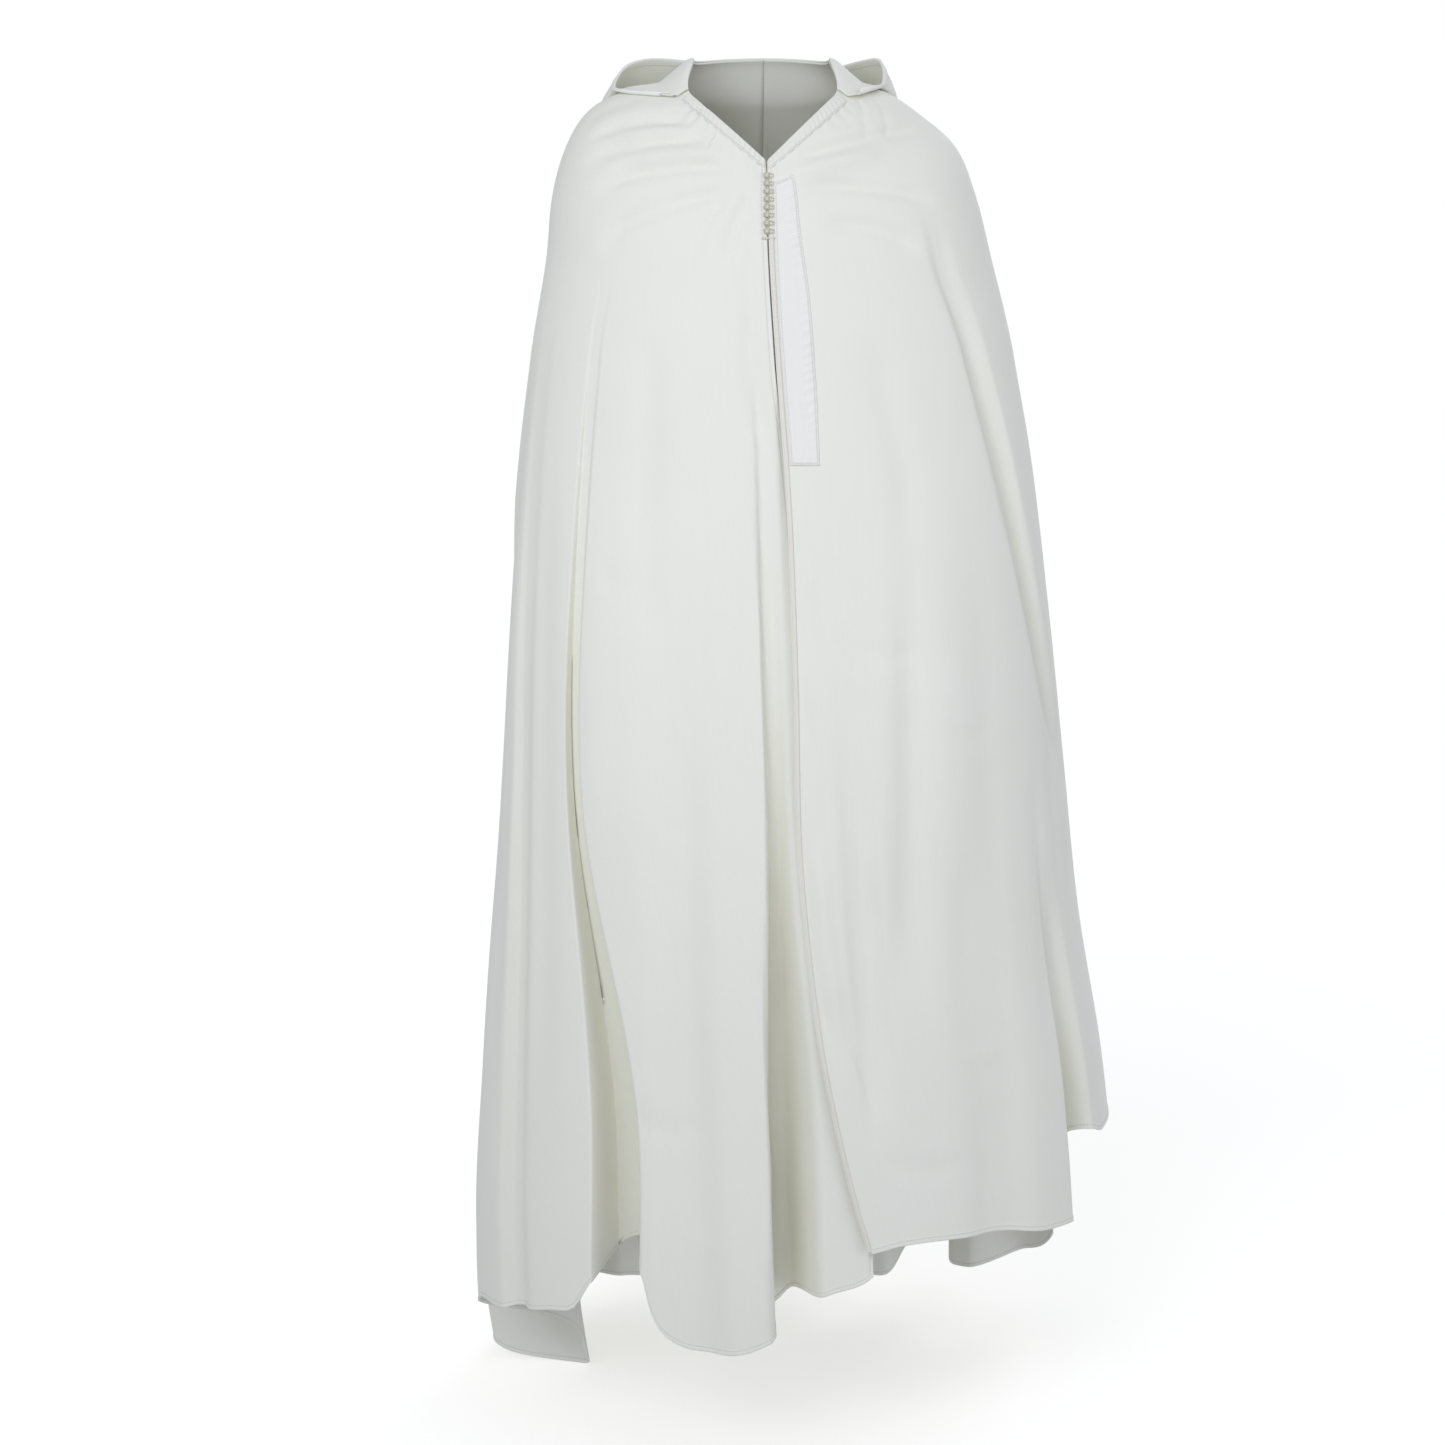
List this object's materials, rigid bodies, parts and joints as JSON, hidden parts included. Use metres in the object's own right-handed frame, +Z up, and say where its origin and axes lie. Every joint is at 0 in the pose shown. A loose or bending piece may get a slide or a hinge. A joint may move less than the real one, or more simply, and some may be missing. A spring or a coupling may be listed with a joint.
{
  "type": "hooded cloak",
  "caption": "Long sleeveless hooded cloak as it hangs from a wearer's shoulders, buttoned at the chest, open below, with the pointed hood down at the back.",
  "frame": {"origin": "middle of the neck, at the height where the cloth rests on the shoulders beside it", "axes": "+Z up; the wearer faces -Y, so +X is the wearer's left"},
  "size_m": [0.7696, 0.5453, 1.5942],
  "materials": {
    "cloak_cloth": "soft matt ivory cloth",
    "hood_cloth": "soft matt ivory cloth",
    "trim": "stitched ivory cloth and braid",
    "button_cord": "knotted cream cord"
  },
  "bodies": {
    "root": {"cloak_right": "cloak_cloth", "cloak_left": "cloak_cloth", "hood": "hood_cloth", "neck_band_right": "trim", "neck_band_left": "trim", "front_facing": "trim", "edge_braid": "trim", "button_1": "button_cord", "button_2": "button_cord", "button_3": "button_cord", "button_4": "button_cord", "button_5": "button_cord", "button_6": "button_cord", "button_7": "button_cord", "button_8": "button_cord", "loop_1": "button_cord", "loop_2": "button_cord", "loop_3": "button_cord", "loop_4": "button_cord", "loop_5": "button_cord", "loop_6": "button_cord", "loop_7": "button_cord", "loop_8": "button_cord"}
  },
  "joints": []
}
